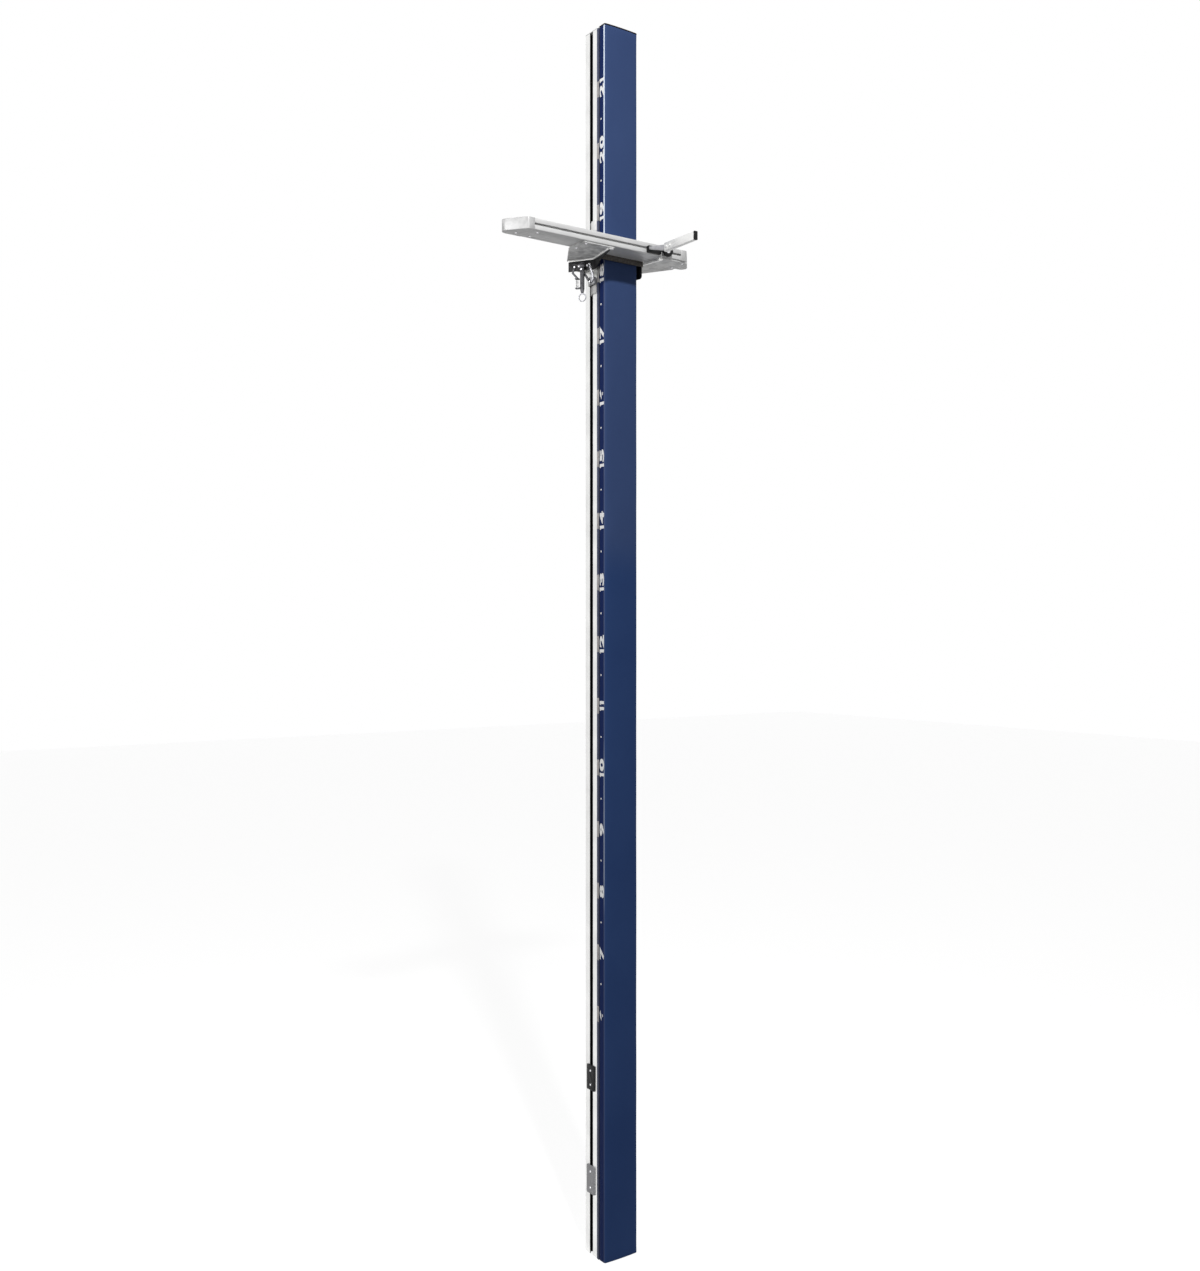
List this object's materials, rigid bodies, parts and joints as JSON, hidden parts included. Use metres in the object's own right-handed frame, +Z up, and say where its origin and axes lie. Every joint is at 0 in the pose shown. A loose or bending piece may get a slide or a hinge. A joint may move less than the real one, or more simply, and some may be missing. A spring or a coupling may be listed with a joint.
{
  "type": "pole vault standard",
  "caption": "Tall padded T-slot upright with a self-locking sliding carriage, a cross arm on two wing brackets and a sliding peg arm for the crossbar.",
  "frame": {"origin": "centre of the upright extrusion at its bottom end", "axes": "+Z up along the upright, +X along the pad wide face and the cross arm, -Y the side that the pad and the peg arm face"},
  "size_m": [1.079, 0.6893, 6.096],
  "materials": {
    "extrusion_aluminium": "mill finish, brushed along its length",
    "cast_bright": "smooth bright casting",
    "cast_aluminium": "mottled grey casting",
    "zinc_steel": "bright zinc",
    "black_paint": "satin black powder coat",
    "black_plastic": "fine grained",
    "white_plastic": "smooth slippery plastic",
    "navy_vinyl": "navy coated vinyl cloth, slight gloss",
    "dark_binding": "woven dark binding",
    "pad_foam": "open foam under the cover",
    "backer_board": "plain rigid board",
    "hook_tape": "woven hook and loop tape",
    "brake_lining": "dark friction lining"
  },
  "bodies": {
    "standard": {"base_plate_left": "cast_aluminium", "base_plate_left_nut": "zinc_steel", "base_plate_right": "cast_aluminium", "base_plate_right_nut": "zinc_steel", "bottom_plug_left": "black_plastic", "bottom_plug_right": "black_plastic", "pad_backer": "backer_board", "pad_core": "pad_foam", "pad_cover": "navy_vinyl", "pad_tape_left": "hook_tape", "pad_tape_right": "hook_tape", "pad_top_binding": "dark_binding", "stop_plate_left": "black_plastic", "stop_plate_left_nut": "zinc_steel", "stop_plate_right": "black_plastic", "stop_plate_right_nut": "zinc_steel", "top_cap": "white_plastic", "upright_extrusion": "extrusion_aluminium"},
    "carriage": {"anchor_screw": "zinc_steel", "arm_end_cap_left": "cast_bright", "arm_end_cap_right": "cast_bright", "cross_arm": "extrusion_aluminium", "front_strap": "zinc_steel", "glide_lower_left": "white_plastic", "glide_lower_right": "white_plastic", "glide_upper_left": "white_plastic", "glide_upper_right": "white_plastic", "guide_screw_front": "zinc_steel", "guide_screw_rear": "zinc_steel", "hanger_pin": "zinc_steel", "knuckle_left": "cast_aluminium", "knuckle_right": "cast_aluminium", "return_spring": "zinc_steel", "rod_guide": "zinc_steel", "side_plate_left": "black_paint", "side_plate_right": "black_paint", "slide_bar_left": "zinc_steel", "slide_bar_right": "zinc_steel", "spring_anchor": "zinc_steel", "wing_bracket_left": "cast_aluminium", "wing_bracket_right": "cast_aluminium", "wing_screw_left": "zinc_steel", "wing_screw_right": "zinc_steel"},
    "pull_rod_body": {"pull_rod": "zinc_steel", "pull_ring": "zinc_steel", "link_pin": "zinc_steel"},
    "brake_link_body": {"brake_link": "zinc_steel"},
    "brake_hanger_body": {"brake_hanger": "zinc_steel", "shoe_pin": "zinc_steel", "brake_shoe": "cast_aluminium", "brake_pad": "brake_lining"},
    "peg_body": {"slide_block": "black_plastic", "slide_nut": "zinc_steel", "peg_plate": "cast_aluminium", "peg_tube": "extrusion_aluminium", "peg_tip": "black_plastic", "knob_washer": "zinc_steel"},
    "knob_body": {"knob_stud": "zinc_steel", "clamp_knob": "black_plastic"}
  },
  "joints": [
    {"name": "carriage_slide", "type": "slide", "parent": "standard", "child": "carriage", "axis": [0, 0, 1], "range_m": [-3.83, 0.88]},
    {"name": "rod_pull", "type": "slide", "parent": "carriage", "child": "pull_rod_body", "axis": [0, 0, 1], "range_m": [-0.004, 0], "stiffness_N_per_m": 1500, "springref_m": 0.004, "deforming": ["return_spring"]},
    {"name": "link_turn", "type": "hinge", "parent": "pull_rod_body", "child": "brake_link_body", "pos_m": [-0.16277, -0.00567, 4.898], "axis": [-0.8343, -0.5513, 0], "range_deg": [0, 6.02]},
    {"name": "brake_swing", "type": "hinge", "parent": "carriage", "child": "brake_hanger_body", "pos_m": [-0.13591, -0.03707, 4.921], "axis": [-0.8343, -0.5513, 0], "range_deg": [0, 4.45]},
    {"name": "peg_slide", "type": "slide", "parent": "carriage", "child": "peg_body", "axis": [1, 0, 0], "range_m": [-0.63, 0.06]},
    {"name": "knob_turn", "type": "hinge", "parent": "peg_body", "child": "knob_body", "pos_m": [0.166, -0.2569, 4.981], "axis": [0, -1, 0], "range_deg": [0, 540]}
  ],
  "couplings": [
    {"joint": "link_turn", "follows": "rod_pull", "rad_per_m": -23.637},
    {"joint": "brake_swing", "follows": "rod_pull", "rad_per_m": -16.8}
  ]
}
